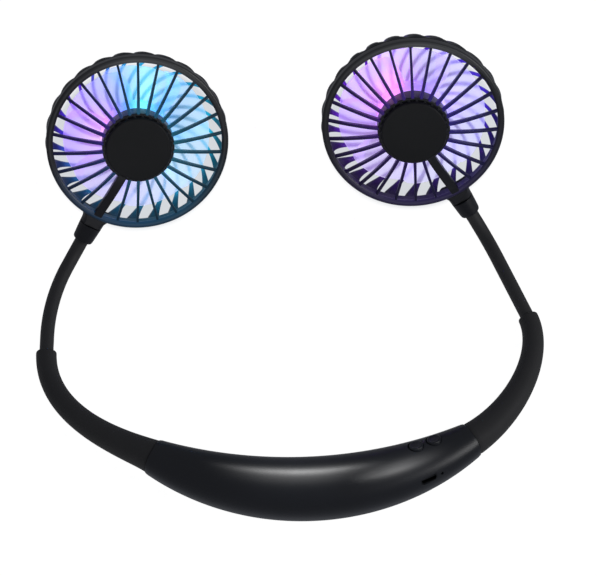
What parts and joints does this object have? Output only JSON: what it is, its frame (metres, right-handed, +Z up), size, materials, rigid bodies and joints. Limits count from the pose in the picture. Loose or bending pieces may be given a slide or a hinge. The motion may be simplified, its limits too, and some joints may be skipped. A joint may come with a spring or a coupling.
{
  "type": "neck fan",
  "caption": "Wearable neck fan: a curved battery pod at the back, bendable necks and round lit fan heads with ribbed grilles that blow toward the face.",
  "frame": {"origin": "on the surface that the fan lies on, under the middle of the pod", "axes": "+X along the pod, to the side with the buttons; +Y from the pod towards the heads; +Z up from the surface"},
  "size_m": [0.2324, 0.2099, 0.0848],
  "materials": {
    "pod_gloss_black": "polished",
    "button_black": "semi-gloss",
    "sleeve_rubber": "soft matt",
    "neck_silicone": "soft matt",
    "head_black": "satin",
    "cover_black": "satin",
    "impeller_frosted": "frosted, translucent",
    "led_white": "glossy",
    "board_green": "satin",
    "board_white": "satin",
    "chip_black": "matt",
    "cell_wrap": "shrink wrap",
    "nickel": "brushed",
    "steel": "bright",
    "bronze": "turned",
    "lead_rubber": "matt",
    "light_pipe_clear": "clear"
  },
  "bodies": {
    "band": {"pod_upper_shell": "pod_gloss_black", "pod_lower_shell": "pod_gloss_black", "usb_socket": "steel", "charge_light_pipe": "light_pipe_clear", "circuit_board": "board_green", "tact_switches": "chip_black", "board_chips": "chip_black", "battery_cell": "cell_wrap", "battery_tabs": "nickel", "battery_leads": "lead_rubber", "pod_screws": "steel", "board_screws": "steel", "left_sleeve": "sleeve_rubber", "left_core_root": "steel", "left_lead_root": "lead_rubber", "right_sleeve": "sleeve_rubber", "right_core_root": "steel", "right_lead_root": "lead_rubber"},
    "fan_button": {"fan_button": "button_black"},
    "light_button": {"light_button": "button_black"},
    "left_arm": {"left_cover_lower": "neck_silicone", "left_core_lower": "steel", "left_lead_lower": "lead_rubber"},
    "left_collar": {"left_cover_upper": "neck_silicone", "left_core_upper": "steel", "left_lead_upper": "lead_rubber", "left_collar": "head_black"},
    "left_head": {"left_front_grille": "head_black", "left_hub_cap": "head_black", "left_stem_clip": "steel", "left_motor_can": "steel", "left_motor_bush": "bronze", "left_led_board": "board_white", "left_leds": "led_white", "left_head_lead": "lead_rubber"},
    "left_cover": {"left_swirl_cover": "cover_black"},
    "left_impeller": {"left_impeller": "impeller_frosted", "left_motor_shaft": "steel"},
    "right_arm": {"right_cover_lower": "neck_silicone", "right_core_lower": "steel", "right_lead_lower": "lead_rubber"},
    "right_collar": {"right_cover_upper": "neck_silicone", "right_core_upper": "steel", "right_lead_upper": "lead_rubber", "right_collar": "head_black"},
    "right_head": {"right_front_grille": "head_black", "right_hub_cap": "head_black", "right_stem_clip": "steel", "right_motor_can": "steel", "right_motor_bush": "bronze", "right_led_board": "board_white", "right_leds": "led_white", "right_head_lead": "lead_rubber"},
    "right_cover": {"right_swirl_cover": "cover_black"},
    "right_impeller": {"right_impeller": "impeller_frosted", "right_motor_shaft": "steel"}
  },
  "joints": [
    {"name": "fan_button_press", "type": "slide", "parent": "band", "child": "fan_button", "axis": [0.2085, -0.5343, -0.8192], "range_m": [0, 0.0005], "stiffness_N_per_m": 400},
    {"name": "light_button_press", "type": "slide", "parent": "band", "child": "light_button", "axis": [0.2085, -0.5343, -0.8192], "range_m": [0, 0.0005], "stiffness_N_per_m": 400},
    {"name": "left_arm_bend", "type": "hinge", "parent": "band", "child": "left_arm", "pos_m": [-0.11764, 0.0954, 0.0041], "axis": [0, 0, 1], "range_deg": [-12, 45], "deforming": ["left_cover_lower", "left_core_lower", "left_lead_lower"]},
    {"name": "left_neck_lift", "type": "hinge", "parent": "left_arm", "child": "left_collar", "pos_m": [-0.1087, 0.11886, 0.00323], "axis": [0.8925, -0.4511, 0], "range_deg": [-30, 40], "deforming": ["left_cover_upper", "left_core_upper", "left_lead_upper", "left_cover_lower", "left_core_lower", "left_lead_lower"]},
    {"name": "left_head_swivel", "type": "hinge", "parent": "left_collar", "child": "left_head", "pos_m": [-0.10118, 0.13029, 0.00772], "axis": [0.5245, 0.5883, 0.6155], "range_deg": [-90, 90]},
    {"name": "left_cover_twist", "type": "hinge", "parent": "left_head", "child": "left_cover", "pos_m": [-0.07193, 0.15884, 0.0448], "axis": [0.0851, -0.7555, 0.6495], "range_deg": [0, 18]},
    {"name": "left_impeller_spin", "type": "hinge", "parent": "left_head", "child": "left_impeller", "pos_m": [-0.07193, 0.15884, 0.0448], "axis": [0.0851, -0.7555, 0.6495], "continuous": true},
    {"name": "right_arm_bend", "type": "hinge", "parent": "band", "child": "right_arm", "pos_m": [0.09685, 0.09816, 0.00412], "axis": [0, 0, -1], "range_deg": [-12, 45], "deforming": ["right_cover_lower", "right_core_lower", "right_lead_lower"]},
    {"name": "right_neck_lift", "type": "hinge", "parent": "right_arm", "child": "right_collar", "pos_m": [0.08919, 0.11968, 0.00323], "axis": [0.9323, 0.3616, 0], "range_deg": [-30, 40], "deforming": ["right_cover_upper", "right_core_upper", "right_lead_upper", "right_cover_lower", "right_core_lower", "right_lead_lower"]},
    {"name": "right_head_swivel", "type": "hinge", "parent": "right_collar", "child": "right_head", "pos_m": [0.08107, 0.13349, 0.00958], "axis": [-0.489, 0.5146, 0.7043], "range_deg": [-90, 90]},
    {"name": "right_cover_twist", "type": "hinge", "parent": "right_head", "child": "right_cover", "pos_m": [0.05401, 0.15767, 0.05115], "axis": [-0.0371, -0.819, 0.5726], "range_deg": [0, 18]},
    {"name": "right_impeller_spin", "type": "hinge", "parent": "right_head", "child": "right_impeller", "pos_m": [0.05401, 0.15767, 0.05115], "axis": [-0.0371, -0.819, 0.5726], "continuous": true}
  ]
}
